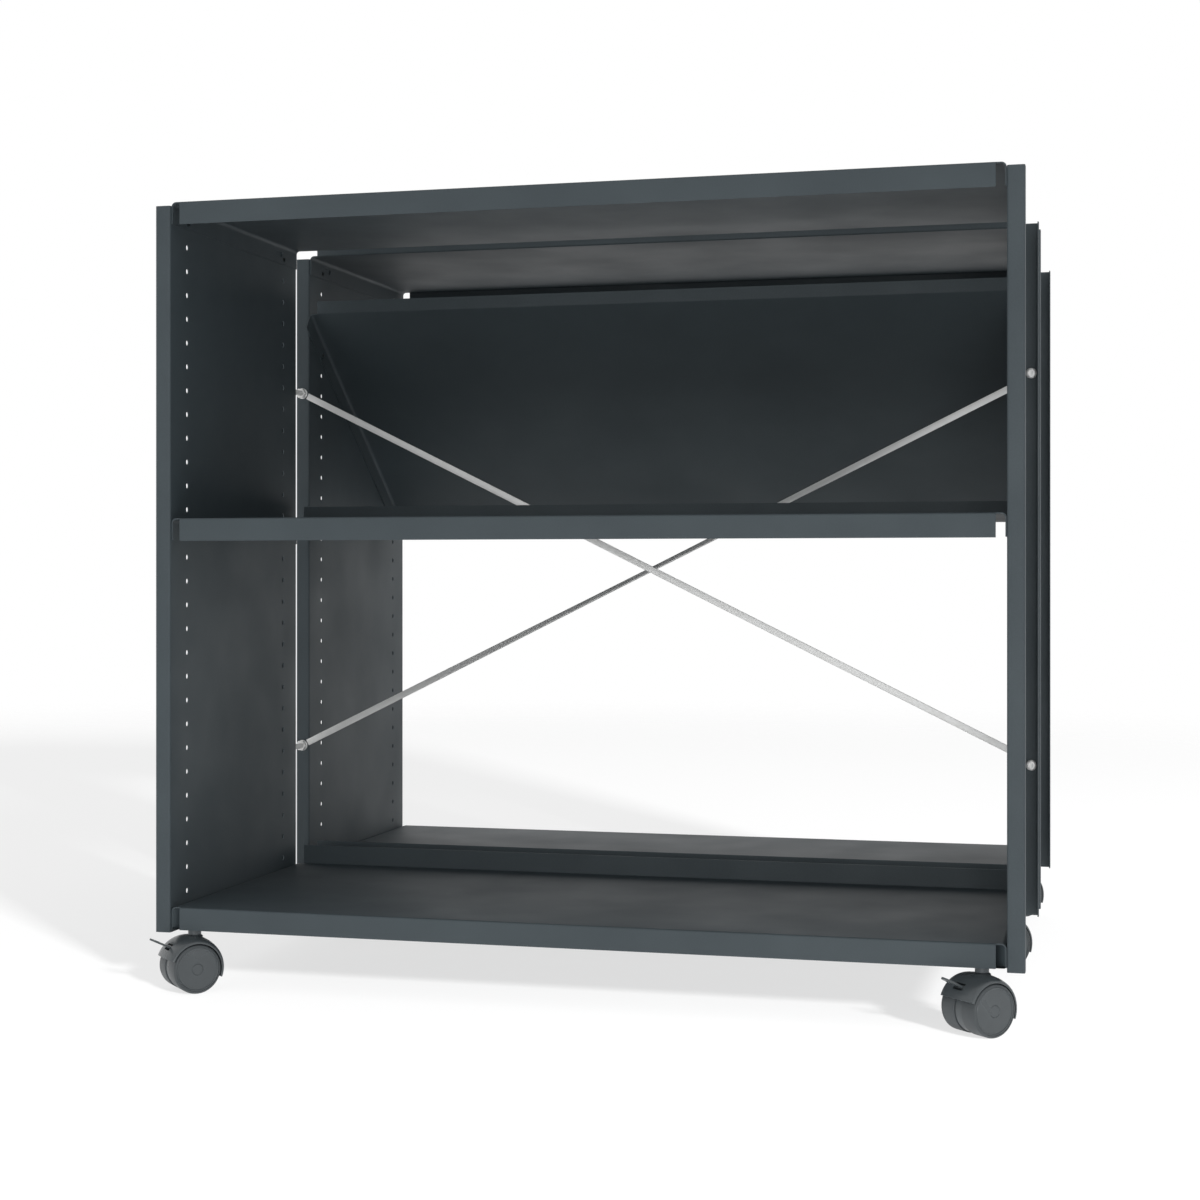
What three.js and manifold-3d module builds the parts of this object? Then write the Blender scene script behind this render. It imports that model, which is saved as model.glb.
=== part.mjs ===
// Mobile double bookcase. Two single steel bays stand back to back on six twin-wheel castors.
// Millimetres, +Z up. The front looks to -Y and the floor is at zero.
import * as THREE from 'three';
import { mergeVertices } from 'three/addons/utils/BufferGeometryUtils.js';
import Module from 'manifold-3d';

const wasm = await Module();
wasm.setup();

// Driving dimensions of the whole unit
const unitWidth = 1057;
const bayDepth = 398;
const bayGap = 47;
const panelHeight = 900;
const floorClearance = 71;

// Folded steel sheet
const sheet = 1.5;
const bend = 2.5;
const seat = 0.3;
const cutOver = 2;
const mergeReach = 1e-4;

// Side panels: lipped channels with the web inside and the flanges turned outward
const flangeWidth = 20;
const returnLip = 15;
const holePitch = 30;
const holeInset = 48;
const holeDiameter = 7;
const holeSides = 6;

// Shelves
const lipHeight = 28;
const upstandHeight = 26;
const endFlangeHeight = 27;
const lipSetback = 0.5;
const cornerNotch = 12;
const endBend = 6;
const endBendSteps = 3;
const baseDeckHeight = 31.5;
const middleDeckHeight = 513;
const topDeckRise = 4.5;
const slotLength = 25;
const slotHeight = 7;
const slotInset = 66;

// Sloping display shelf of the rear bay
const displayTopDrop = 62;
const displayTopLip = 17;
const displayLowHeight = 532;
const displayLowInset = 18;
const displayStop = 26;

// Shelf screws
const screwDiameter = 6;
const screwHeadDiameter = 11.6;
const screwHeadHeight = 3;
const screwSides = 6;

// Long bolts that hold the bays apart, with the brace bars on them
const boltDiameter = 8;
const boltClearance = 0.5;
const boltHeadDiameter = 14;
const boltHeadHeight = 4.4;
const nutAcrossFlats = 13;
const nutHeight = 6.5;
const boltTail = 3;
const boltSides = 8;
const lowBoltRow = 6;
const highBoltRow = 23;
const barWidth = 9;
const barThickness = 2;
const barEyeDiameter = 15.4;
const barTwist = THREE.MathUtils.degToRad(50);
const barSteps = 24;

// Castors
const wheelDiameter = 60;
const castorWidth = 58;
const wheelGap = 11.4;
const castorTrail = 6;
const castorInset = 48;
const castorSetback = 10.5;
const castorTurn = THREE.MathUtils.degToRad(45);
const wheelSides = 14;
const tyreRound = 2.5;
const discRecess = 0.8;
const discRimWidth = 2;
const axleDiameter = 6;
const axleClearance = 0.3;
const axleCapWall = 4.6;
const hoodHeight = 68;
const hoodEdgeRadius = 33;
const hoodClearance = 1.3;
const hoodSegments = 16;
const hoodDomeSteps = 2;
const hoodTilt = THREE.MathUtils.degToRad(21);
const webThickness = 10.4;
const webSetback = 1.2;
const socketDiameter = 18;
const stemPinDiameter = 7;
const stemPinDepth = 22;
const stemCollarDiameter = 16;
const stemThreadDiameter = 10;
const stemNutAcrossFlats = 13;
const stemSides = 12;
const stemNutHeight = 6;
const stemTail = 2;

// Castor brackets under the base shelves
const bracketPlate = 2.5;
const bracketLift = 0.5;
const bracketWidth = 31.5;
const bracketLength = 92;
const bridgeLength = 70;
const bridgeInward = 35;
const bridgeBend = 4;
const bridgeFoot = 30;

// Brake levers
const leverPivotAngle = THREE.MathUtils.degToRad(135);
const leverBarrelDiameter = 5;
const leverPinDiameter = 2.6;
const leverPinReach = 2;
const leverReach = 29;
const leverThickness = 2.5;
const leverRootWidth = 14;
const leverTipWidth = 12;
const leverTipSteps = 4;
const leverRise = THREE.MathUtils.degToRad(26);
const notchWidth = 15.4;
const notchAbove = 3.4;
const notchBelow = 5;

// Places worked out from the sizes
const clearWidth = unitWidth - 2 * flangeWidth;
const unitDepth = 2 * bayDepth + bayGap;
const panelFoot = floorClearance;
const wheelRadius = wheelDiameter / 2;
const shelfLength = clearWidth - 2 * seat;
const frontFace = -unitDepth / 2;
const topDeckHeight = panelHeight + topDeckRise;
const displayTopHeight = panelHeight - displayTopDrop;
const holeColumns = [holeInset, bayDepth - holeInset];

const finish = {
  steel: new THREE.MeshStandardMaterial({ color: 0x494d51, roughness: 0.55, metalness: 0.1 }),
  zinc: new THREE.MeshStandardMaterial({ color: 0xc9cbcc, roughness: 0.35, metalness: 0.9 }),
  plastic: new THREE.MeshStandardMaterial({ color: 0x50555a, roughness: 0.35, metalness: 0 }),
  axle: new THREE.MeshStandardMaterial({ color: 0x9a9da0, roughness: 0.3, metalness: 1 }),
};

// Solids

function solid(geometry) {
  const plain = geometry.clone();
  plain.deleteAttribute('normal');
  plain.deleteAttribute('uv');
  const merged = mergeVertices(plain, mergeReach);
  const mesh = new wasm.Mesh({
    numProp: 3,
    vertProperties: new Float32Array(merged.attributes.position.array),
    triVerts: new Uint32Array(merged.index.array),
  });
  return new wasm.Manifold(mesh);
}

function join(...pieces) {
  return pieces.reduce((whole, piece) => whole.add(piece));
}

function cut(body, ...tools) {
  return tools.reduce((whole, tool) => whole.subtract(tool), body);
}

function geometryOf(body) {
  const mesh = body.getMesh();
  const geometry = new THREE.BufferGeometry();
  geometry.setAttribute('position', new THREE.BufferAttribute(new Float32Array(mesh.vertProperties), 3));
  geometry.setIndex(new THREE.BufferAttribute(new Uint32Array(mesh.triVerts), 1));
  geometry.computeVertexNormals();
  return geometry;
}

function block(low, high) {
  const size = high.map((value, axis) => value - low[axis]);
  const geometry = new THREE.BoxGeometry(...size);
  geometry.translate(...low.map((value, axis) => value + size[axis] / 2));
  return geometry;
}

// A round or many-sided bar along X, Y or Z, from one place on that axis to another
function bar(axis, radius, from, to, sides, centre = [0, 0, 0]) {
  const geometry = new THREE.CylinderGeometry(radius, radius, to - from, sides);
  geometry.rotateY(Math.PI / sides);
  if (axis === 'x') geometry.rotateZ(-Math.PI / 2);
  if (axis === 'z') geometry.rotateX(Math.PI / 2);
  const middle = (from + to) / 2;
  const along = { x: [middle, 0, 0], y: [0, middle, 0], z: [0, 0, middle] }[axis];
  geometry.translate(...along.map((value, index) => value + centre[index]));
  return geometry;
}

// Extrude an outline: its first coordinate, second coordinate and the depth become the named axes
function prism(shape, depth, axes, segments = 2) {
  const geometry = new THREE.ExtrudeGeometry(shape, { depth, bevelEnabled: false, curveSegments: segments });
  const unit = { x: [1, 0, 0], y: [0, 1, 0], z: [0, 0, 1] };
  const basis = axes.split('').map((name) => new THREE.Vector3(...unit[name]));
  const matrix = new THREE.Matrix4().makeBasis(...basis);
  geometry.applyMatrix4(matrix);
  return matrix.determinant() < 0 ? turned(geometry) : geometry;
}

// Swap the winding of every triangle, after a mirror
function turned(geometry) {
  const flat = geometry.index ? geometry.toNonIndexed() : geometry;
  const points = flat.attributes.position;
  const swap = new THREE.Vector3();
  const other = new THREE.Vector3();
  for (let first = 0; first < points.count; first += 3) {
    swap.fromBufferAttribute(points, first + 1);
    other.fromBufferAttribute(points, first + 2);
    points.setXYZ(first + 1, other.x, other.y, other.z);
    points.setXYZ(first + 2, swap.x, swap.y, swap.z);
  }
  return flat;
}

function mirrored(geometry) {
  return turned(geometry.clone().scale(-1, 1, 1));
}

// Bent sheet: the outline of a strip that follows a line, with the sheet on the line's left.
// The outside of each bend is rounded with the given radius and the inside with that less the sheet.
function foldedStrip(line, radius, steps = 2, thickness = sheet) {
  const near = roundedSide(line, 0, radius, steps, thickness);
  const far = roundedSide(line, thickness, radius, steps, thickness);
  const shape = new THREE.Shape();
  [...near, ...far.reverse()].forEach((point, index) => {
    if (index === 0) shape.moveTo(point.x, point.y);
    else shape.lineTo(point.x, point.y);
  });
  return shape;
}

function roundedSide(line, offset, outer, steps, thickness) {
  const points = line.map(([x, y]) => new THREE.Vector2(x, y));
  const ways = points.slice(1).map((point, index) => point.clone().sub(points[index]).normalize());
  const lefts = ways.map((way) => new THREE.Vector2(-way.y, way.x));
  const side = [points[0].clone().addScaledVector(lefts[0], offset)];
  for (let corner = 1; corner < points.length - 1; corner += 1) {
    const before = ways[corner - 1];
    const after = ways[corner];
    const turn = Math.atan2(before.cross(after), before.dot(after));
    const inside = turn > 0 ? offset > 0 : offset === 0;
    const radius = inside ? outer - thickness : outer;
    const mitre = offset * Math.tan(turn / 2);
    const elbow = points[corner].clone().addScaledVector(lefts[corner - 1], offset);
    elbow.addScaledVector(before, -mitre);
    const reach = radius * Math.abs(Math.tan(turn / 2));
    const start = elbow.clone().addScaledVector(before, -reach);
    const centre = start.clone().addScaledVector(lefts[corner - 1], Math.sign(turn) * radius);
    for (let step = 0; step <= steps; step += 1) {
      const spoke = start.clone().sub(centre).rotateAround(new THREE.Vector2(), (turn * step) / steps);
      side.push(centre.clone().add(spoke));
    }
  }
  side.push(points.at(-1).clone().addScaledVector(lefts.at(-1), offset));
  return side;
}

// Side panels, made for the left and mirrored to the right

function sidePanel() {
  const line = [
    [0, returnLip],
    [0, 0],
    [flangeWidth, 0],
    [flangeWidth, bayDepth],
    [0, bayDepth],
    [0, bayDepth - returnLip],
  ];
  return solid(prism(foldedStrip(line, bend), panelHeight, 'xyz'));
}

function rowHeight(row) {
  return holePitch * (row + 1 / 2);
}

// A shelf's screw takes the next hole down from its deck, or a hole of its own at the end flange's
// edge where that one would lie below the flange
function screwHeight(deck, tilt = 0) {
  const row = Math.floor((deck - screwHeadDiameter) / holePitch - 1 / 2);
  const flangeEdge = deck - (endFlangeHeight - screwDiameter / 2) / Math.cos(tilt);
  return Math.max(rowHeight(row), flangeEdge);
}

// Two columns of holes at the pitch. The screws' places give each column's screw heights.
function perforated(panel, screwPlaces) {
  const rows = Math.round(panelHeight / holePitch);
  const holes = [];
  for (const column of holeColumns) {
    const heights = new Set(screwPlaces.map((heightAt) => heightAt(column)));
    for (let row = 0; row < rows; row += 1) heights.add(rowHeight(row));
    for (const height of heights) {
      const from = flangeWidth - sheet - cutOver;
      const centre = [0, column, height];
      holes.push(solid(bar('x', holeDiameter / 2, from, flangeWidth + cutOver, holeSides, centre)));
    }
  }
  return cut(panel, ...holes);
}

// The bolts that join the bays pass the flanges that face each other across the gap
const boltLine = flangeWidth / 2;
const boltRows = [lowBoltRow, highBoltRow];

function boltHoles(panel, from, to) {
  const radius = boltDiameter / 2 + boltClearance;
  const centres = boltRows.map((row) => [boltLine, 0, rowHeight(row)]);
  return cut(panel, ...centres.map((centre) => solid(bar('y', radius, from, to, boltSides, centre))));
}

// Shelves, centred on X, with the lip at Y zero and the top of the deck at Z zero

const deckFront = lipSetback;
const deckBack = bayDepth - lipSetback;

function deckProfile() {
  const line = [
    [deckBack - sheet, upstandHeight],
    [deckBack - sheet, 0],
    [deckFront, 0],
    [deckFront, -lipHeight],
  ];
  return foldedStrip(line, bend);
}

function endFlange(from, to) {
  const inner = shelfLength / 2 - cornerNotch - cutOver;
  const line = [
    [shelfLength / 2, -endFlangeHeight],
    [shelfLength / 2, 0],
    [inner, 0],
  ];
  const geometry = prism(foldedStrip(line, endBend, endBendSteps), to - from, 'xzy');
  geometry.translate(0, from, 0);
  return geometry;
}

// One screw: the shank starts in the end flange, passes the web, and its head closes on the outside
function shelfScrew(y, z) {
  const flangeFace = shelfLength / 2 - sheet;
  const headFace = clearWidth / 2 + sheet + seat;
  const headMiddle = headFace + screwHeadHeight / 2;
  const shank = bar('x', screwDiameter / 2, flangeFace, headMiddle, screwSides, [0, y, z]);
  const head = bar('x', screwHeadDiameter / 2, headFace, headFace + screwHeadHeight, screwSides, [0, y, z]);
  return join(solid(shank), solid(head));
}

function endSlot(y, z) {
  const half = (slotLength - slotHeight) / 2;
  const shape = new THREE.Shape();
  shape.absarc(half, 0, slotHeight / 2, -Math.PI / 2, Math.PI / 2);
  shape.absarc(-half, 0, slotHeight / 2, Math.PI / 2, (3 * Math.PI) / 2);
  const geometry = prism(shape, sheet + 2 * cutOver, 'yzx');
  geometry.translate(shelfLength / 2 - sheet - cutOver, y, z);
  return geometry;
}

function bothEnds(body) {
  return join(body, solid(mirrored(geometryOf(body))));
}

function flatShelf(deckHeight) {
  const coreLength = shelfLength - 2 * cornerNotch;
  const core = prism(deckProfile(), coreLength, 'yzx');
  core.translate(-coreLength / 2, 0, 0);
  const screwDrop = screwHeight(deckHeight) - deckHeight;
  const slotDrop = -endFlangeHeight / 2;
  let end = solid(endFlange(deckFront + bend, deckBack - bend));
  end = cut(end, solid(endSlot(bayDepth - slotInset, slotDrop)));
  end = join(end, ...holeColumns.map((y) => shelfScrew(y, screwDrop)));
  return join(solid(core), bothEnds(end));
}

// Sloping display shelf, in the rear bay's own frame with Y zero at its near face

const slopeTop = [deckFront + sheet, displayTopHeight - displayTopLip];
const slopeLow = [bayDepth - displayLowInset, displayLowHeight];
const slopeAngle = Math.atan2(slopeTop[1] - slopeLow[1], slopeLow[0] - slopeTop[0]);
const slopeLength = Math.hypot(slopeTop[1] - slopeLow[1], slopeLow[0] - slopeTop[0]);

function slopeHeight(y) {
  return slopeTop[1] - (y - slopeTop[0]) * Math.tan(slopeAngle);
}

function displayScrewHeight(y) {
  return screwHeight(slopeHeight(y), slopeAngle);
}

function displayShelf() {
  const stopTip = [
    slopeLow[0] + displayStop * Math.sin(slopeAngle),
    slopeLow[1] + displayStop * Math.cos(slopeAngle),
  ];
  const line = [stopTip, slopeLow, slopeTop, [slopeTop[0], displayTopHeight]];
  const coreLength = shelfLength - 2 * cornerNotch;
  const core = prism(foldedStrip(line, bend), coreLength, 'yzx');
  core.translate(-coreLength / 2, 0, 0);
  const flange = endFlange(bend, slopeLength - bend);
  flange.rotateX(-slopeAngle);
  flange.translate(0, ...slopeTop);
  const screws = holeColumns.map((y) => shelfScrew(y, displayScrewHeight(y)));
  return join(solid(core), bothEnds(join(solid(flange), ...screws)));
}

// Castor brackets: channels on the corners' diagonals, welded under a base shelf.
// A bracket is made for the front right corner, with the stem at the origin and the deck above it.

const bracketFoot = baseDeckHeight - lipHeight + bracketLift;
const bracketRise = baseDeckHeight - sheet - bracketFoot;
const castorX = unitWidth / 2 - castorInset;

function castorBracket() {
  const half = bracketWidth / 2;
  const outer = block([-bracketLength, -half, 0], [bracketLength, half, bracketRise + sheet / 2]);
  const hollow = block(
    [-bracketLength - cutOver, bracketPlate - half, bracketPlate],
    [bracketLength + cutOver, half - bracketPlate, bracketRise + cutOver],
  );
  const channel = cut(solid(outer), solid(hollow)).rotate([0, 0, -THREE.MathUtils.radToDeg(castorTurn)]);
  const toFlange = shelfLength / 2 - sheet / 2 - castorX;
  const toLip = castorSetback - deckFront - sheet / 2;
  const back = bracketLength / 2;
  const room = block([-back, -toLip, -cutOver], [toFlange, back, bracketRise + cutOver]);
  const stemHole = bar('z', stemThreadDiameter / 2 + seat, -cutOver, bracketPlate + cutOver, boltSides);
  return cut(channel.intersect(solid(room)), solid(stemHole));
}

function baseShelf() {
  const bracket = castorBracket().translate([castorX, castorSetback, bracketFoot - baseDeckHeight]);
  return join(flatShelf(baseDeckHeight), bothEnds(bracket));
}

// Bridges under the gap: hat sections that carry the middle castors between the two base shelves

function castorBridge() {
  const inner = bridgeLength / 2;
  const outer = inner + bridgeFoot;
  const outward = shelfLength / 2 - endBend - castorX;
  const underDeck = bracketRise - seat;
  const line = [
    [outer, underDeck],
    [inner, underDeck],
    [inner, bracketPlate],
    [-inner, bracketPlate],
    [-inner, underDeck],
    [-outer, underDeck],
  ];
  const outline = foldedStrip(line, bridgeBend, 2, bracketPlate);
  const geometry = prism(outline, bridgeInward + outward, 'yzx');
  geometry.translate(-bridgeInward, 0, 0);
  const stemHole = bar('z', stemThreadDiameter / 2 + seat, -cutOver, bracketPlate + cutOver, boltSides);
  return cut(solid(geometry), solid(stemHole));
}

// Brace bars and the long bolts. Each is made round the origin and then placed.

const boltX = unitWidth / 2 - boltLine;
const barRise = rowHeight(highBoltRow) - rowHeight(lowBoltRow);
const barLength = Math.hypot(2 * boltX, barRise);
const barAngle = Math.atan2(barRise, 2 * boltX);
const barBow = (barThickness + barWidth * Math.sin(barTwist) + barThickness * Math.cos(barTwist)) / 2 + seat;

// A flat bar along X that turns about its own line and bows to +Y towards the middle
function flatBar(twist, bow, steps) {
  const points = [];
  for (let step = 0; step <= steps; step += 1) {
    const share = step / steps;
    const swell = Math.sin(Math.PI * share) ** 2;
    const turn = twist * swell;
    for (const [wide, thick] of [[-1, -1], [1, -1], [1, 1], [-1, 1]]) {
      const across = (wide * barWidth) / 2;
      const through = (thick * barThickness) / 2;
      points.push(
        barLength * (share - 1 / 2),
        bow * swell + through * Math.cos(turn) + across * Math.sin(turn),
        across * Math.cos(turn) - through * Math.sin(turn),
      );
    }
  }
  const faces = [[0, 1, 2], [0, 2, 3]];
  const last = 4 * steps;
  faces.push([last, last + 2, last + 1], [last, last + 3, last + 2]);
  for (let step = 0; step < steps; step += 1) {
    for (let side = 0; side < 4; side += 1) {
      const here = 4 * step + side;
      const next = 4 * step + ((side + 1) % 4);
      faces.push([here, here + 4, next], [next, here + 4, next + 4]);
    }
  }
  const geometry = new THREE.BufferGeometry();
  geometry.setAttribute('position', new THREE.BufferAttribute(new Float32Array(points), 3));
  geometry.setIndex(faces.flat());
  return geometry;
}

function braceBar(twist, bow, steps) {
  let body = solid(flatBar(twist, bow, steps));
  const half = barThickness / 2;
  for (const end of [-barLength / 2, barLength / 2]) {
    const eye = bar('y', barEyeDiameter / 2, -half, half, boltSides, [end, 0, 0]);
    const holeRadius = boltDiameter / 2 + boltClearance;
    const hole = bar('y', holeRadius, -half - cutOver, half + cutOver, boltSides, [end, 0, 0]);
    body = cut(join(body, solid(eye)), solid(hole));
  }
  return body;
}

function nut() {
  const corner = nutAcrossFlats / 2 / Math.cos(Math.PI / 6);
  const body = bar('y', corner, 0, nutHeight, 6);
  const bore = bar('y', boltDiameter / 2 + seat, -cutOver, nutHeight + cutOver, boltSides);
  return cut(solid(body), solid(bore));
}

// From the front flange's face at zero: head in front, lock nut behind, and the shank across the gap
function linkBolt() {
  const headBack = -sheet - seat;
  const shankEnd = bayGap + sheet + seat + nutHeight + boltTail;
  const corner = nutAcrossFlats / 2 / Math.cos(Math.PI / 6);
  const head = bar('y', boltHeadDiameter / 2, headBack - boltHeadHeight, headBack, boltSides);
  const shank = bar('y', boltDiameter / 2, headBack - boltHeadHeight / 2, shankEnd, boltSides);
  const lockNut = bar('y', corner, seat, seat + nutHeight, 6);
  return join(solid(head), solid(shank), solid(lockNut));
}

// Castors. One is made with its stem on the Z axis, its axle along X and its lever towards -Y.

const axleHeight = wheelRadius;
const axlePlace = [0, -castorTrail, axleHeight];
const facetRadius = wheelRadius / Math.cos(Math.PI / wheelSides);
const hoodRadius = hoodHeight - axleHeight;
const hoodHalf = castorWidth / 2 - discRecess;
const hoodInner = facetRadius + hoodClearance;
const stemPlace = bracketFoot + panelFoot;

// Revolve a profile of radius and place along the axle, with a flat of the wheel on the floor
function revolved(profile, segments) {
  const points = profile.map(([radius, along]) => new THREE.Vector2(radius, along));
  const geometry = new THREE.LatheGeometry(points, segments, Math.PI / segments);
  geometry.rotateZ(-Math.PI / 2);
  return geometry;
}

// The right wheel: a blind moulding on the axle's end, with a rounded tyre and a rimmed disc
function wheel() {
  const inner = wheelGap / 2;
  const outer = castorWidth / 2;
  const bore = axleDiameter / 2 + axleClearance;
  const capFace = outer - axleCapWall;
  const profile = [
    [0, capFace],
    [bore, capFace],
    [bore, inner],
    [facetRadius, inner],
    [facetRadius, outer - tyreRound],
    [facetRadius - tyreRound, outer],
    [facetRadius - tyreRound - discRimWidth, outer],
    [facetRadius - tyreRound - discRimWidth - discRecess, outer - discRecess],
    [0, outer - discRecess],
  ];
  return solid(revolved(profile, wheelSides));
}

function axle() {
  const reach = castorWidth / 2 - axleCapWall - seat;
  return solid(bar('x', axleDiameter / 2, -reach, reach, boltSides));
}

// Lever pivot, in the hood's own frame round the axle
const leverPivotRadius = hoodInner + leverBarrelDiameter / 2 + 2 * seat;
const leverPivot = [
  0,
  leverPivotRadius * Math.cos(leverPivotAngle),
  leverPivotRadius * Math.sin(leverPivotAngle),
];

function hoodShell() {
  const profile = [];
  for (let step = -hoodDomeSteps; step <= hoodDomeSteps; step += 1) {
    const share = step / hoodDomeSteps;
    const dome = Math.sqrt(1 - share * share);
    profile.push([hoodEdgeRadius + (hoodRadius - hoodEdgeRadius) * dome, hoodHalf * share]);
  }
  profile.push([hoodInner, hoodHalf], [hoodInner, -hoodHalf], profile[0]);
  return solid(revolved(profile, hoodSegments));
}

// The hood covers the wheels from low on the far side to just above the axle on the lever's side
function belowHood() {
  const half = castorWidth;
  const room = block([-half, -half, -half], [half, half, 0]);
  room.rotateX(-hoodTilt);
  return solid(room);
}

function leverNotch() {
  const half = notchWidth / 2;
  const depth = leverPivotRadius - hoodInner;
  const room = block([-half, -notchBelow, -depth - seat], [half, notchAbove, hoodHeight]);
  room.rotateX(leverPivotAngle - Math.PI / 2);
  room.translate(...leverPivot);
  return solid(room);
}

function hood(hasLever) {
  let shell = cut(hoodShell(), belowHood());
  if (hasLever) {
    const reach = notchWidth / 2 + leverPinReach + seat;
    const pinHole = bar('x', leverPinDiameter / 2 + seat, -reach, reach, boltSides, leverPivot);
    shell = cut(shell, leverNotch(), solid(pinHole));
  }
  const halfWeb = webThickness / 2;
  const rib = cut(solid(bar('x', hoodInner + seat, -halfWeb, halfWeb, hoodSegments)), belowHood());
  const web = solid(bar('x', wheelRadius - webSetback, -halfWeb, halfWeb, 2 * hoodSegments));
  const crown = hoodHeight - axleHeight;
  const socketFoot = hoodInner + seat;
  const socket = solid(bar('z', socketDiameter / 2, socketFoot, crown, boltSides, [0, castorTrail, 0]));
  const pinRoom = stemPinDiameter / 2 + seat;
  const pinEnd = crown - stemPinDepth - seat;
  const pinBore = bar('z', pinRoom, pinEnd, crown + cutOver, boltSides, [0, castorTrail, 0]);
  const axleBore = bar('x', axleDiameter / 2 + axleClearance, -castorWidth, castorWidth, boltSides);
  return cut(join(shell, rib, web, socket), solid(pinBore), solid(axleBore));
}

// Stem: swivel pin below, collar, and a thread with its nut through the bracket's plate
function stem() {
  const collarFoot = hoodHeight + seat;
  const collarTop = stemPlace - seat;
  const nutFoot = stemPlace + bracketPlate + seat;
  const corner = stemNutAcrossFlats / 2 / Math.cos(Math.PI / 6);
  const pin = bar('z', stemPinDiameter / 2, hoodHeight - stemPinDepth, collarTop, boltSides);
  const collar = bar('z', stemCollarDiameter / 2, collarFoot, collarTop, stemSides);
  const threadEnd = nutFoot + stemNutHeight + stemTail;
  const thread = bar('z', stemThreadDiameter / 2, collarFoot + seat, threadEnd, boltSides);
  const stemNut = bar('z', corner, nutFoot, nutFoot + stemNutHeight, 6);
  return join(...[pin, collar, thread, stemNut].map(solid));
}

// Brake lever round its own pivot: barrel, trunnions and a paddle that rises away from the hood
function lever() {
  const half = leverRootWidth / 2;
  const barrel = bar('x', leverBarrelDiameter / 2, -half, half, boltSides);
  const reach = notchWidth / 2 + leverPinReach;
  const trunnions = bar('x', leverPinDiameter / 2, -reach, reach, boltSides);
  const tip = leverTipWidth / 2;
  const shape = new THREE.Shape();
  shape.moveTo(half, 0);
  shape.lineTo(tip, tip - leverReach);
  shape.absarc(0, tip - leverReach, tip, 0, -Math.PI, true);
  shape.lineTo(-half, 0);
  const paddle = prism(shape, leverThickness, 'xyz', leverTipSteps);
  paddle.translate(0, 0, -leverThickness / 2);
  paddle.rotateX(-leverRise);
  return join(solid(barrel), solid(trunnions), solid(paddle));
}

// Assembly

const unit = new THREE.Group();

function place(parent, name, body, material, position = [0, 0, 0]) {
  const geometry = body instanceof THREE.BufferGeometry ? body : geometryOf(body);
  const mesh = new THREE.Mesh(geometry, material);
  mesh.name = name;
  mesh.position.set(...position);
  parent.add(mesh);
  return mesh;
}

const rearFace = frontFace + unitDepth;
const nearFace = frontFace + bayDepth + bayGap;
const half = unitWidth / 2;

const shared = [baseDeckHeight, topDeckHeight].map((deck) => () => screwHeight(deck));
const frontPanel = perforated(sidePanel(), [...shared, () => screwHeight(middleDeckHeight)]);
const rearPanel = perforated(sidePanel(), [...shared, displayScrewHeight]);
const panels = {
  front: geometryOf(boltHoles(frontPanel, bayDepth - sheet - cutOver, bayDepth + cutOver)),
  rear: geometryOf(boltHoles(rearPanel, -cutOver, sheet + cutOver)),
};
const panelY = { front: frontFace, rear: nearFace };
for (const bay of ['front', 'rear']) {
  const y = panelY[bay];
  place(unit, `side_panel_${bay}_left`, panels[bay], finish.steel, [-half, y, panelFoot]);
  place(unit, `side_panel_${bay}_right`, mirrored(panels[bay]), finish.steel, [half, y, panelFoot]);
}

const topShelf = geometryOf(flatShelf(topDeckHeight));
const middleShelf = geometryOf(flatShelf(middleDeckHeight));
const lowShelf = geometryOf(baseShelf());
const topDeck = panelFoot + topDeckHeight;
const baseDeck = panelFoot + baseDeckHeight;
place(unit, 'shelf_front_top', topShelf, finish.steel, [0, frontFace, topDeck]);
place(unit, 'shelf_front_middle', middleShelf, finish.steel, [0, frontFace, panelFoot + middleDeckHeight]);
place(unit, 'shelf_front_base', lowShelf, finish.steel, [0, frontFace, baseDeck]);
const rearTop = place(unit, 'shelf_rear_top', topShelf, finish.steel, [0, rearFace, topDeck]);
const rearLow = place(unit, 'shelf_rear_base', lowShelf, finish.steel, [0, rearFace, baseDeck]);
rearTop.rotation.z = Math.PI;
rearLow.rotation.z = Math.PI;
place(unit, 'shelf_rear_display', displayShelf(), finish.steel, [0, nearFace, panelFoot]);

const bridge = geometryOf(castorBridge());
place(unit, 'castor_bridge_left', mirrored(bridge), finish.steel, [-castorX, 0, stemPlace]);
place(unit, 'castor_bridge_right', bridge, finish.steel, [castorX, 0, stemPlace]);

const barY = nearFace - seat - barThickness / 2;
const barMiddle = panelFoot + (rowHeight(lowBoltRow) + rowHeight(highBoltRow)) / 2;
const falling = place(unit, 'brace_bar_falling', braceBar(0, 0, 1), finish.zinc, [0, barY, barMiddle]);
const rising = place(unit, 'brace_bar_rising', braceBar(barTwist, barBow, barSteps), finish.zinc);
rising.position.copy(falling.position);
falling.rotation.y = barAngle;
rising.rotation.y = -barAngle;

const boltBody = geometryOf(linkBolt());
const nutBody = geometryOf(nut());
for (const [side, sign] of [['left', -1], ['right', 1]]) {
  for (const [level, row] of [['low', lowBoltRow], ['high', highBoltRow]]) {
    const x = sign * boltX;
    const z = panelFoot + rowHeight(row);
    const gapNutY = barY - barThickness / 2 - seat - nutHeight;
    place(unit, `link_bolt_${side}_${level}`, boltBody, finish.zinc, [x, frontFace + bayDepth, z]);
    place(unit, `gap_nut_${side}_${level}`, nutBody, finish.zinc, [x, gapNutY, z]);
    place(unit, `end_nut_${side}_${level}`, nutBody, finish.zinc, [x, nearFace + sheet + seat, z]);
  }
}

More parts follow.
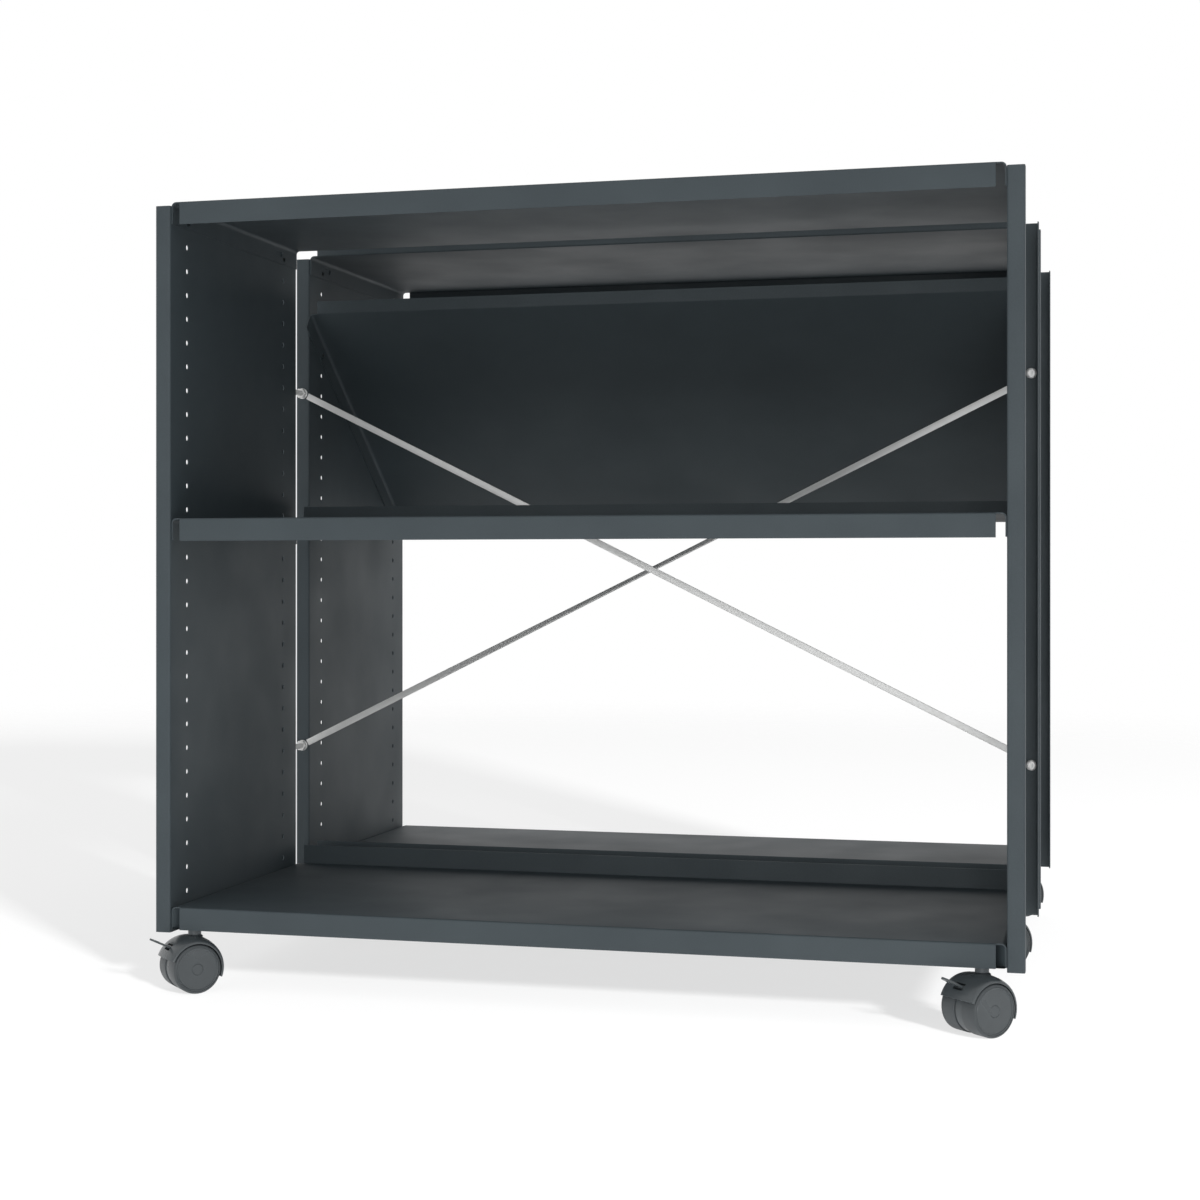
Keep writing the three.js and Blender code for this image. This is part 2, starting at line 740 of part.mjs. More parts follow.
const castorRows = {
  front: frontFace + castorSetback,
  middle: 0,
  rear: rearFace - castorSetback,
};
const hoods = { plain: geometryOf(hood(false)), braked: geometryOf(hood(true)) };
const rightWheel = geometryOf(wheel());
const leftWheel = mirrored(rightWheel);
const axleBody = geometryOf(axle());
const stemBody = geometryOf(stem());
const leverBody = geometryOf(lever());
const leverPlace = leverPivot.map((value, index) => value + axlePlace[index]);
for (const [row, y] of Object.entries(castorRows)) {
  for (const [side, sign] of [['left', -1], ['right', 1]]) {
    const name = `castor_${row}_${side}`;
    const castor = new THREE.Group();
    castor.position.set(sign * castorX, y, 0);
    castor.rotation.z = -castorTurn;
    unit.add(castor);
    const braked = row !== 'middle';
    place(castor, `${name}_stem`, stemBody, finish.axle);
    place(castor, `${name}_hood`, braked ? hoods.braked : hoods.plain, finish.plastic, axlePlace);
    place(castor, `${name}_axle`, axleBody, finish.axle, axlePlace);
    place(castor, `${name}_wheel_left`, leftWheel, finish.plastic, axlePlace);
    place(castor, `${name}_wheel_right`, rightWheel, finish.plastic, axlePlace);
    if (braked) place(castor, `${name}_lever`, leverBody, finish.plastic, leverPlace);
  }
}

// The castors trail to the front, so the pieces move back until the overall box stands on the origin
const middle = new THREE.Box3().setFromObject(unit, true).getCenter(new THREE.Vector3());
for (const piece of unit.children) piece.position.y -= middle.y;

export default unit;
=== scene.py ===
"""Looks of the mobile double bookcase: two powder-coated steel bays back to back on six castors.
Sizes are in millimetres and turn to metres where a mesh is made. The front looks to -Y."""

import bmesh
import bpy
import numpy as np

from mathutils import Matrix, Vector


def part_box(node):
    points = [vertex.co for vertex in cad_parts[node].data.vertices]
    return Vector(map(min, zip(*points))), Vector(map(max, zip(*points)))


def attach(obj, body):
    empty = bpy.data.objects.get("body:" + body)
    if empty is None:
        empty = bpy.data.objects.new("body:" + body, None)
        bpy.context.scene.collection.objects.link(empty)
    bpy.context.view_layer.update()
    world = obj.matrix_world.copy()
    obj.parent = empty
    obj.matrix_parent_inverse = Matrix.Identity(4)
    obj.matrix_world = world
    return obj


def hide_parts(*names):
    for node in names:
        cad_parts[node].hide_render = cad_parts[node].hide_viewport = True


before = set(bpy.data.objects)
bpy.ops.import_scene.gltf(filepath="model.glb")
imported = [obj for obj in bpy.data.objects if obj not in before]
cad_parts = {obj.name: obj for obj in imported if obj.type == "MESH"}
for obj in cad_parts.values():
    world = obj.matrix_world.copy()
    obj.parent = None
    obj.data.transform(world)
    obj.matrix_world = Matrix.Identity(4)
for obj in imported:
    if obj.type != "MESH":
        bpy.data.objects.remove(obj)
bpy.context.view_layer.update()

# Side panels: four channels of 1.5 mm steel sheet, folded on a press brake after two columns of
# thirty round holes are punched in the web. The flanges turn outwards and end in return lips.
# They are powder coated in anthracite, which rounds the cut edges a little.

MM = 1000  # in a metre
SHEET, FOLD, FOLD_STEPS = 1.5, 2.5, 6
PANEL_HIGH, PANEL_DEEP, FLANGE, RETURN_LIP = 900, 398, 20, 15
PITCH, HOLE_INSET, HOLE_ROUND = 30, 48, 3.5
CELL, CELL_STEP, WELD = 15, 5, 0.002
RING_SHARES = np.array([0, 0.5, 0.85, 1])
SIDES = (("left", -1), ("right", 1))


def box_mm(name):
    """The lowest and the highest corner of a CAD node, in millimetres."""
    return np.array(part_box(name)) * MM


def folded(line, radius=FOLD):
    """A folded sheet's outer line: straight runs joined by arcs that touch both runs.
    Returns the distance along it, its points and its normals towards the sheet's inside."""
    line = np.array(line, float)
    ways = np.diff(line, axis=0)
    ways /= np.linalg.norm(ways, axis=1, keepdims=True)
    lefts = np.stack([-ways[:, 1], ways[:, 0]], axis=1)
    points, normals = [line[:1]], [lefts[:1]]
    for before, after, left, corner in zip(ways, ways[1:], lefts, line[1:]):
        turn = np.arctan2(before[0] * after[1] - before[1] * after[0], before @ after)
        bend = radius if turn > 0 else radius - SHEET
        start = corner - before * bend * np.tan(abs(turn) / 2)
        angle = turn * np.linspace(0, 1, FOLD_STEPS + 1)
        rotation = np.stack([np.cos(angle), -np.sin(angle), np.sin(angle), np.cos(angle)], axis=1)
        rotation = rotation.reshape(-1, 2, 2)
        centre = start + left * np.sign(turn) * bend
        points.append(centre + rotation @ (start - centre))
        normals.append(rotation @ left)
    points = np.concatenate([*points, line[-1:]])
    normals = np.concatenate([*normals, lefts[-1:]])
    runs = np.linalg.norm(np.diff(points, axis=0), axis=1)
    return np.concatenate([[0], np.cumsum(runs)]), points, normals


def blank(u, v, keep=None, holes=()):
    """The flat blank before it is folded: a grid on the lines u and v, less the corners cut off.
    Round each hole (centre u, centre v, radius, half straight length, half cell u, half cell v)
    a cell of the grid gives way to rings that pass evenly from the cell's rim to the hole."""
    u, v = np.unique(np.round(u, 5)), np.unique(np.round(v, 5))
    grid = np.stack(np.meshgrid(u, v, indexing="ij"), axis=-1).reshape(-1, 2)
    quads = lattice(len(u), len(v))
    middle = grid[quads].mean(axis=1)
    stays = np.ones(len(quads), bool) if keep is None else keep(middle[:, 0], middle[:, 1])
    parts, faces, count = [grid], [], len(grid)
    for at_u, at_v, radius, straight, half_u, half_v in holes:
        near = (abs(middle[:, 0] - at_u) < half_u) & (abs(middle[:, 1] - at_v) < half_v)
        stays &= ~near
        du = u[abs(u - at_u) < half_u + WELD] - at_u
        dv = v[abs(v - at_v) < half_v + WELD] - at_v
        rim = np.concatenate([
            np.stack([du[:-1], np.full(len(du) - 1, -half_v)], axis=1),
            np.stack([np.full(len(dv) - 1, half_u), dv[:-1]], axis=1),
            np.stack([du[:0:-1], np.full(len(du) - 1, half_v)], axis=1),
            np.stack([np.full(len(dv) - 1, -half_u), dv[:0:-1]], axis=1),
        ])
        core = np.stack([np.zeros(len(rim)), np.clip(rim[:, 1], -straight, straight)], axis=1)
        spoke = rim - core
        edge = core + radius * spoke / np.linalg.norm(spoke, axis=1, keepdims=True)
        rings = rim + (edge - rim) * RING_SHARES[:, None, None] + [at_u, at_v]
        ring, place = np.arange(len(rings) - 1)[:, None] * len(rim), np.arange(len(rim))
        here = count + (ring + place).ravel()
        beside = count + (ring + (place + 1) % len(rim)).ravel()
        faces.append(np.stack([here, beside, beside + len(rim), here + len(rim)], axis=1))
        parts.append(rings.reshape(-1, 2))
        count += rings.shape[0] * len(rim)
    points = np.concatenate(parts)
    quads = np.concatenate([quads[stays], *faces])
    _, first, index = np.unique(np.round(points, 3), axis=0, return_index=True, return_inverse=True)
    points, quads = points[first], index.ravel()[quads]
    used, index = np.unique(quads, return_inverse=True)
    return points[used], index.reshape(quads.shape)


def lattice(long, wide):
    """The quads of a grid of points, long by wide."""
    first = (np.arange(long - 1)[:, None] * wide + np.arange(wide - 1)).ravel()
    return np.stack([first, first + wide, first + wide + 1, first + 1], axis=1)


def thick(front, back, quads):
    """Closes two skins of one net: the front, the back turned over, and walls at the net's rim."""
    size = len(front)
    edges = np.stack([quads, np.roll(quads, -1, axis=1)], axis=-1).reshape(-1, 2)
    key = edges[:, 0] * size + edges[:, 1]
    other = edges[:, 1] * size + edges[:, 0]
    rim = edges[~np.isin(key, other)]
    walls = np.stack([rim[:, 1], rim[:, 0], rim[:, 0] + size, rim[:, 1] + size], axis=1)
    return np.concatenate([front, back]), np.concatenate([quads, quads[:, ::-1] + size, walls])


def piece(name, points, quads, material, body, *nodes, sharp=35):
    """Makes the piece with its seams and poles welded and its faces outward, smooth but for edges
    sharper than the angle. It rides on the body and stands for the nodes."""
    mesh = bpy.data.meshes.new(name)
    mesh.from_pydata((np.asarray(points) / MM).tolist(), [], np.asarray(quads).tolist())
    whole = bmesh.new()
    whole.from_mesh(mesh)
    bmesh.ops.remove_doubles(whole, verts=whole.verts, dist=WELD / MM)
    bmesh.ops.recalc_face_normals(whole, faces=whole.faces)
    whole.to_mesh(mesh)
    whole.free()
    mesh.polygons.foreach_set("use_smooth", np.ones(len(mesh.polygons), bool))
    mesh.set_sharp_from_angle(angle=np.radians(sharp))
    made = bpy.data.objects.new(name, mesh)
    bpy.context.collection.objects.link(made)
    made.data.materials.append(material)
    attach(made, body)
    if nodes:
        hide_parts(*nodes)
    return made


def linear(code):
    """An sRGB hex colour as the linear colour that the shader takes."""
    part = np.array([int(code[i:i + 2], 16) for i in (0, 2, 4)]) / 255
    part = np.where(part <= 0.04045, part / 12.92, ((part + 0.055) / 1.055) ** 2.4)
    return (*part.tolist(), 1.0)


def node(tree, kind, links=None, **settings):
    """Adds one shader node, with its settings by name and its inputs by number or name."""
    made = tree.nodes.new(kind)
    for name, value in settings.items():
        setattr(made, name, value)
    for socket, source in (links or {}).items():
        if hasattr(source, "is_output"):
            tree.links.new(source, made.inputs[socket])
        else:
            made.inputs[socket].default_value = source
    return made


def new_material(name):
    """An empty material with its shader and the place in the object's own coordinates."""
    made = bpy.data.materials.new(name)
    made.use_nodes = True
    tree = made.node_tree
    place = node(tree, "ShaderNodeTexCoord").outputs["Object"]
    return made, tree, tree.nodes["Principled BSDF"], place


def noise(tree, place, scale, detail, distortion=0.0):
    """A cloudy noise, as a number that mostly stays between 0.3 and 0.7."""
    links = {"Vector": place, "Scale": scale, "Detail": detail, "Distortion": distortion}
    return node(tree, "ShaderNodeTexNoise", links).outputs[0]


def spread(tree, source, low, high, least=0.3, most=0.7, **settings):
    """Carries a number over from the range least to most to the range low to high."""
    links = {0: source, 1: least, 2: most, 3: low, 4: high}
    return node(tree, "ShaderNodeMapRange", links, **settings).outputs[0]


def two_tones(tree, share, pale, deep):
    """A colour that drifts between two sRGB hex colours."""
    links = {0: share, 6: linear(pale), 7: linear(deep)}
    return node(tree, "ShaderNodeMix", links, data_type="RGBA").outputs[2]


def surface(tree, shader, colour, gloss, height, strength, distance):
    """Gives the shader its colour and roughness, and a relief whose depth is in metres."""
    links = {"Height": height, "Strength": strength, "Distance": distance}
    tree.links.new(colour, shader.inputs["Base Color"])
    tree.links.new(gloss, shader.inputs["Roughness"])
    tree.links.new(node(tree, "ShaderNodeBump", links).outputs[0], shader.inputs["Normal"])


def powder_coat(name, pale, deep, roughness):
    """Polyester powder coat, sprayed and baked on steel. The melted grains leave a fine even
    pebble, here 1.2 mm across so that it shows, and the film's tone and gloss drift a little."""
    made, tree, shader, place = new_material(name)
    drift = noise(tree, place, scale=9, detail=3)
    pebble = noise(tree, place, scale=850, detail=2)
    fleck = spread(tree, pebble, 0.94, 1.07, least=0.35)
    tone = two_tones(tree, drift, pale, deep)
    shade = node(tree, "ShaderNodeVectorMath", {0: tone, 1: fleck}, operation="MULTIPLY")
    gloss = spread(tree, drift, roughness - 0.05, roughness + 0.05)
    surface(tree, shader, shade.outputs[0], gloss, pebble, strength=0.12, distance=0.0004)
    shader.inputs["IOR"].default_value = 1.5
    return made


anthracite = powder_coat("anthracite_powder_coat", "3d484d", "384146", roughness=0.62)

path, plan, inward = folded([
    (0, RETURN_LIP), (0, 0), (FLANGE, 0),
    (FLANGE, PANEL_DEEP), (0, PANEL_DEEP), (0, PANEL_DEEP - RETURN_LIP),
])
web_start = path[np.argmin(abs(plan - [FLANGE, FOLD]).sum(axis=1))] - FOLD
columns = [web_start + HOLE_INSET, web_start + PANEL_DEEP - HOLE_INSET]
rows = (np.arange(PANEL_HIGH // PITCH) + 0.5) * PITCH
punched = [(column, row, HOLE_ROUND, 0, CELL, CELL) for column in columns for row in rows]
cell_lines = np.concatenate([column + np.arange(-CELL, CELL + 1, CELL_STEP) for column in columns])
row_lines = np.arange(0, PANEL_HIGH + 1, CELL_STEP)
flat, net = blank(np.concatenate([path, cell_lines]), row_lines, holes=punched)
x, y, in_x, in_y = (np.interp(flat[:, 0], path, line) for line in (*plan.T, *inward.T))
outer = np.stack([x, y, flat[:, 1]], axis=1)
depth = np.stack([in_x, in_y, 0 * in_x], axis=1)
depth /= np.linalg.norm(depth, axis=1, keepdims=True)
left_panel, panel_net = thick(outer, outer + SHEET * depth, net)
for bay in ("front", "rear"):
    for side, way in SIDES:
        name = f"side_panel_{bay}_{side}"
        low, high = box_mm(name)
        corner = [low[0] if way < 0 else high[0], low[1], low[2]]
        points = left_panel * [-way, 1, 1] + corner
        piece(f"panel_{bay}_{side}", points, panel_net, anthracite, "frame", name)

# Shelves: trays of the same coated sheet, with a lip down in front, an upstand behind and a flange
# folded down at each end. The corners are notched, and each end flange has one punched slot.

SHELF_LONG, LIP, UPSTAND, SETBACK = 1016.4, 28, 26, 0.5
END_FLANGE, END_FOLD, NOTCH = 27, 6, 12
SLOT_LONG, SLOT_HIGH, SLOT_INSET = 25, 7, 66
SLOT_CELL_LONG, SLOT_CELL_HIGH, SLOT_LINES_LONG, SLOT_LINES_HIGH = 16.5, 5.5, 13, 7
DECKS = {"base": 31.5, "middle": 513, "top": 904.5}
TRAYS = (
    ("front", "top"), ("front", "middle"), ("front", "base"), ("rear", "top"), ("rear", "base"),
)


def tray(depth_line, slotted=True):
    """A tray as the sum of two folds: one across its depth and one along its length.
    The blank has no corners, so no point is folded both ways but on the flat deck, which runs
    from the first fold's last point to the second fold's first."""
    s, across, across_in = folded(depth_line)
    half = SHELF_LONG / 2
    length_line = [(half, -END_FLANGE), (half, 0), (-half, 0), (-half, -END_FLANGE)]
    t, along, along_in = folded(length_line, END_FOLD)
    first, last = FOLD_STEPS + 1, FOLD_STEPS + 2
    notch_t = np.array([t[first] + NOTCH - END_FOLD, t[last] - NOTCH + END_FOLD])
    lines_t, lines_s, slots = [t, notch_t], [s], []
    if slotted:
        at_s = s[first] + across[first, 0] - (PANEL_DEEP - SLOT_INSET)
        lines_s.append(at_s + np.linspace(-1, 1, SLOT_LINES_LONG) * SLOT_CELL_LONG)
        for at_t in (END_FLANGE / 2, t[-1] - END_FLANGE / 2):
            lines_t.append(at_t + np.linspace(-1, 1, SLOT_LINES_HIGH) * SLOT_CELL_HIGH)
            straight = (SLOT_LONG - SLOT_HIGH) / 2
            slots.append((at_t, at_s, SLOT_HIGH / 2, straight, SLOT_CELL_HIGH, SLOT_CELL_LONG))

    def keep(at_t, at_s):
        on_length = (at_t > notch_t[0]) & (at_t < notch_t[1])
        return on_length | ((at_s > s[first]) & (at_s < s[last]))

    flat, net = blank(np.concatenate(lines_t), np.concatenate(lines_s), keep, slots)
    lengthwise, crosswise = (*along.T, *along_in.T), (*across.T, *across_in.T)
    x, z_end, in_x, in_end = (np.interp(flat[:, 0], t, line) for line in lengthwise)
    y, z_deep, in_y, in_deep = (np.interp(flat[:, 1], s, line) for line in crosswise)
    top = np.stack([x, y, z_end + z_deep], axis=1)
    inside = np.stack([in_x, in_y, -in_end * in_deep], axis=1)
    inside /= np.linalg.norm(inside, axis=1, keepdims=True)
    return thick(top, top + SHEET * inside, net)


_, front_face, panel_foot = box_mm("side_panel_front_left")[0]
near_face = box_mm("side_panel_rear_left")[0][1]
rear_face = near_face + PANEL_DEEP
back = PANEL_DEEP - SETBACK - SHEET
tray_points, tray_net = tray([(back, UPSTAND), (back, 0), (SETBACK, 0), (SETBACK, -LIP)])
for bay, level in TRAYS:
    turn, face = ([1, 1, 1], front_face) if bay == "front" else ([-1, -1, 1], rear_face)
    points = tray_points * turn + [0, face, panel_foot + DECKS[level]]
    piece(f"tray_{bay}_{level}", points, tray_net, anthracite, "frame", f"shelf_{bay}_{level}")

# Display shelf: the same kind of tray set on a slope in the rear bay, facing the rear. A stop
# stands up along its low edge, and a narrow lip closes its top edge behind the books.

SLOPE_TOP, SLOPE_LOW, DISPLAY_TOP, STOP = (2, 821), (380, 532), 838, 26
slope_deep, slope_drop = SLOPE_LOW[0] - SLOPE_TOP[0], SLOPE_TOP[1] - SLOPE_LOW[1]
slope, slope_long = np.arctan2(slope_drop, slope_deep), np.hypot(slope_drop, slope_deep)
lip_rise = DISPLAY_TOP - SLOPE_TOP[1]
lip_tip = (lip_rise * -np.sin(slope), lip_rise * np.cos(slope))
points, net = tray([(slope_long, STOP), (slope_long, 0), (0, 0), lip_tip], slotted=False)
down = points[:, 1] * np.cos(slope) + points[:, 2] * np.sin(slope) + near_face + SLOPE_TOP[0]
up = points[:, 2] * np.cos(slope) - points[:, 1] * np.sin(slope) + panel_foot + SLOPE_TOP[1]
points = np.stack([points[:, 0], down, up], axis=1)
piece("tray_rear_display", points, net, anthracite, "frame", "shelf_rear_display")

# Shelf screws: pan-head screws of zinc-plated steel with a hexagon socket. Two hold each end of
# a shelf, from the outer side of the web, and only their pale heads show.

SCREW, SHANK, HEAD, HEAD_HIGH, GAP = 3, 3.6, 5.8, 3, 0.3
SOCKET, SOCKET_RIM, SOCKET_DEEP, DRILL_TIP = 2, 0.3, 1.6, 0.2
DOME_DRAW, DOME_WALL, DOME_STEPS = 0.75, 0.3, 5
SCREW_ROWS = {"base": (0, 0), "middle": (16, 16), "top": (29, 29)}


def turned_part(rows, sides=48):
    """A part turned about its axis. Each row gives a radius, a place along the axis and how far
    the round passes into a hexagon of that inner radius, from 0 to 1."""
    radius, along, hexed = np.array(rows, float).T
    angle = np.linspace(0, 2 * np.pi, sides + 1)[:, None]
    flat_side = 1 / np.cos(angle % (np.pi / 3) - np.pi / 6)
    reach = radius * (1 + hexed * (flat_side - 1))
    return round_grid(along, reach, angle)


def round_grid(along, reach, angle):
    """The points and quads of a round part from its reach at each angle and each place along X."""
    places = [np.broadcast_to(along, reach.shape), reach * np.cos(angle), reach * np.sin(angle)]
    return np.stack(places, axis=-1).reshape(-1, 3), lattice(len(angle), len(along))


def gathered(parts):
    """Several meshes as one: their points in a row and their quads counted on."""
    counts = np.cumsum([0] + [len(points) for points, _ in parts])
    quads = [net + count for (_, net), count in zip(parts, counts)]
    return np.concatenate([points for points, _ in parts]), np.concatenate(quads)


def domed(radius, foot, high):
    """The rows of a low dome that rises from a round edge: a short wall, then a drawn-in crown."""
    angle = np.linspace(0, np.pi / 2, DOME_STEPS)
    reach = radius - high * DOME_DRAW * (1 - np.cos(angle))
    rise = foot + high * (DOME_WALL + (1 - DOME_WALL) * np.sin(angle))
    return list(zip(reach, rise, np.zeros(DOME_STEPS)))


def zinc_plate(name, pale, deep, roughness, metallic):
    """Zinc on turned or rolled steel, bright with a cold and a warm tint that drift, and with fine
    scratches, here 0.8 mm apart so that they show."""
    made, tree, shader, place = new_material(name)
    cloud = noise(tree, place, scale=60, detail=3)
    scratch = noise(tree, place, scale=1200, detail=2)
    tint = two_tones(tree, cloud, pale, deep)
    gloss = spread(tree, scratch, roughness - 0.04, roughness + 0.04)
    surface(tree, shader, tint, gloss, scratch, strength=0.015, distance=0.0001)
    shader.inputs["Metallic"].default_value = metallic
    return made


bright_zinc = zinc_plate("bright_zinc_plate", "f3f4f4", "e9e9e7", roughness=0.48, metallic=0.45)
socket_floor = HEAD_HIGH - SOCKET_DEEP
screw_points, screw_net = turned_part([
    (0, -SHANK, 0), (SCREW, -SHANK, 0), (SCREW, 0, 0), (HEAD, 0, 0), *domed(HEAD, 0, HEAD_HIGH),
    (SOCKET + SOCKET_RIM, HEAD_HIGH, 0), (SOCKET, HEAD_HIGH, 1),
    (SOCKET, socket_floor, 1), (0, socket_floor - DRILL_TIP, 1),
])


def slope_row(y):
    """The row of holes that lies next under the display shelf, at a depth y in its bay."""
    high = SLOPE_TOP[1] - (y - SLOPE_TOP[0]) * np.tan(slope)
    return np.floor((high - 2 * HEAD) / PITCH - 0.5)


web_out = SHELF_LONG / 2 + GAP + SHEET + GAP
insets = (HOLE_INSET, PANEL_DEEP - HOLE_INSET)
rows_of = {**SCREW_ROWS, "display": [slope_row(y) for y in insets]}
for bay, level in (*TRAYS, ("rear", "display")):
    face = front_face if bay == "front" else near_face
    heads = []
    for inset, row in zip(insets, rows_of[level]):
        for _, way in SIDES:
            place = [way * web_out, face + inset, panel_foot + (row + 0.5) * PITCH]
            heads.append((screw_points * [way, 1, 1] + place, screw_net))
    piece(f"screws_{bay}_{level}", *gathered(heads), bright_zinc, "frame")

# Long bolts: M8 steel bolts through the facing flanges, which hold the bays 47 mm apart. Each has
# a round head in front, a lock nut behind the front flange and a nut on each side of the rear one.

BOLT, BOLT_HEAD, BOLT_HEAD_HIGH, THREAD, THREAD_DEEP = 4, 7, 4.4, 1.25, 0.55
BOLT_SOCKET, BOLT_SOCKET_RIM, BOLT_SOCKET_FLOOR, SHANK_SUNK = 2.5, 0.4, 1.8, 0.5
NUT_HALF, NUT_HIGH, NUT_CHAMFER, BAY_GAP, TAIL, BAR_THICK = 6.5, 6.5, 0.9, 47, 3, 2
NUT_CONE_SHARE, NUT_CONE_RISE = 0.97, 1.73
BOLT_ROWS = {"low": 6, "high": 23}


def threaded(radius, start, end, pitch, deep, sides=24):
    """A thread: the radius falls and rises once per pitch, and the wave turns with the angle.
    Its ends stay plain for a third of a pitch, and points on the axis close them."""
    along = np.arange(start, end, pitch / 6)
    angle = np.linspace(0, 2 * np.pi, sides + 1)[:, None]
    wave = abs(2 * ((along / pitch - angle / (2 * np.pi)) % 1) - 1)
    cut = np.minimum(along - start, end - along) > pitch / 3
    reach = radius - deep * wave * cut
    reach[:, [0, -1]] = 0
    return round_grid(along, reach, angle)


def hexagon_nut(half, bore, high, sides=72):
    """A hexagon nut: its corners are cut back by a cone at both faces."""
    angle = np.linspace(0, 2 * np.pi, sides + 1)[:, None]
    edge = np.array([0, NUT_CHAMFER / 2, NUT_CHAMFER])
    along = np.concatenate([[0], edge, high - edge[::-1], [high, 0]])
    cone = half * NUT_CONE_SHARE + np.minimum(along, high - along) * NUT_CONE_RISE
    flats = half / np.cos(angle % (np.pi / 3) - np.pi / 6)
    reach = np.minimum(flats, cone)
    reach[:, [0, -2, -1]] = bore
    return round_grid(along, reach, angle)


def facing_rear(points):
    """Turns a part that was made along X to lie along Y."""
    return points[:, [1, 0, 2]] * [-1, 1, 1]


back_face = front_face + PANEL_DEEP
head_at = -SHEET - GAP
head_top = head_at - BOLT_HEAD_HIGH
socket_floor = head_at - BOLT_SOCKET_FLOOR
dome = domed(BOLT_HEAD, head_at, BOLT_HEAD_HIGH)
bolt_head = turned_part([
    (0, head_at, 0), (BOLT_HEAD, head_at, 0),
    *[(radius, 2 * head_at - along, 0) for radius, along, _ in dome],
    (BOLT_SOCKET + BOLT_SOCKET_RIM, head_top, 0), (BOLT_SOCKET, head_top, 1),
    (BOLT_SOCKET, socket_floor, 1), (0, socket_floor + DRILL_TIP, 1),
])
bolt_end = BAY_GAP + SHEET + GAP + NUT_HIGH + TAIL
shank = threaded(BOLT, head_at - SHANK_SUNK, bolt_end, THREAD, THREAD_DEEP)
nut_points, nut_net = hexagon_nut(NUT_HALF, BOLT, NUT_HIGH)
bolt_points, bolt_net = gathered([bolt_head, shank, (nut_points + [GAP, 0, 0], nut_net)])
bar_y = near_face - GAP - BAR_THICK / 2
nut_places = {
    "gap_nut": bar_y - BAR_THICK / 2 - GAP - NUT_HIGH,
    "end_nut": near_face + SHEET + GAP,
}
bolt_x = SHELF_LONG / 2 + GAP + FLANGE / 2
for side, way in SIDES:
    for level, row in BOLT_ROWS.items():
        line = np.array([way * bolt_x, 0, panel_foot + (row + 0.5) * PITCH])
        where = f"{side}_{level}"
        points = facing_rear(bolt_points) + line + [0, back_face, 0]
        piece(f"bolt_{where}", points, bolt_net,
              bright_zinc, "frame", f"link_bolt_{where}", sharp=28)
        for nut_name, y in nut_places.items():
            points = facing_rear(nut_points) + line + [0, y, 0]
            piece(f"{nut_name}_{where}_hexagon", points, nut_net,
                  bright_zinc, "frame", f"{nut_name}_{where}", sharp=28)

# Brace bars: two flat steel bars with round eyes, which cross between the bays and keep the unit
# square. The falling bar is straight. The rising one twists and bows behind it to pass.

BAR_WIDE, BAR_ROUND, BAR_STEPS, BAR_SIDES, TWIST = 9, 0.5, 121, 33, np.radians(50)
EYE, EYE_HOLE, EYE_EDGE, EYE_SHARE = 7.7, 4.5, 0.4, 0.008


def brace(twist, bow):
    """A round-cornered strip carried along X, from inside one eye to inside the other. The twist
    and the bow swell to the middle as the square of a sine. The eye at each end is a flat ring."""
    share = np.linspace(EYE_SHARE, 1 - EYE_SHARE, BAR_STEPS)[:, None]
    swell = np.sin(np.pi * share) ** 2
    turn = np.linspace(0, 2 * np.pi, BAR_SIDES)
    wide = np.sign(np.cos(turn)) * (BAR_WIDE / 2 - BAR_ROUND) + BAR_ROUND * np.cos(turn)
    deep = np.sign(np.sin(turn)) * (BAR_THICK / 2 - BAR_ROUND) + BAR_ROUND * np.sin(turn)
    angle = twist * swell
    x = np.broadcast_to(bar_long * (share - 0.5), (len(share), len(turn)))
    y = bow * swell + deep * np.cos(angle) + wide * np.sin(angle)
    z = wide * np.cos(angle) - deep * np.sin(angle)
    strip = (np.stack([x, y, z], axis=-1).reshape(-1, 3), lattice(len(share), len(turn)))
    half = BAR_THICK / 2
    ring, ring_net = turned_part([
        (EYE_HOLE, -half, 0), (EYE - EYE_EDGE, -half, 0), (EYE, EYE_EDGE - half, 0),
        (EYE, half - EYE_EDGE, 0), (EYE - EYE_EDGE, half, 0),
        (EYE_HOLE, half, 0), (EYE_HOLE, -half, 0),
    ])
    eyes = [(facing_rear(ring) + [way * bar_long / 2, 0, 0], ring_net) for _, way in SIDES]
    return gathered([strip, *eyes])


bolt_rise = (BOLT_ROWS["high"] - BOLT_ROWS["low"]) * PITCH
bar_long, lean = np.hypot(2 * bolt_x, bolt_rise), np.arctan2(bolt_rise, 2 * bolt_x)
bow_out = (BAR_THICK + BAR_WIDE * np.sin(TWIST) + BAR_THICK * np.cos(TWIST)) / 2 + GAP
middle = [0, bar_y, panel_foot + (sum(BOLT_ROWS.values()) / 2 + 0.5) * PITCH]
bars = {"falling": (1, brace(0, 0)), "rising": (-1, brace(TWIST, bow_out))}
for name, (way, (points, net)) in bars.items():
    x = points[:, 0] * np.cos(lean) + way * points[:, 2] * np.sin(lean)
    z = points[:, 2] * np.cos(lean) - way * points[:, 0] * np.sin(lean)
    points = np.stack([x, points[:, 1], z], axis=1) + middle
    piece(f"bar_{name}", points, net, bright_zinc, "frame", f"brace_bar_{name}", sharp=50)

# Castor brackets: folded channels of 2.5 mm plate, welded across the corners under the base
# shelves, with a hole for the stem. The bridges under the gap are hat sections of the same plate.

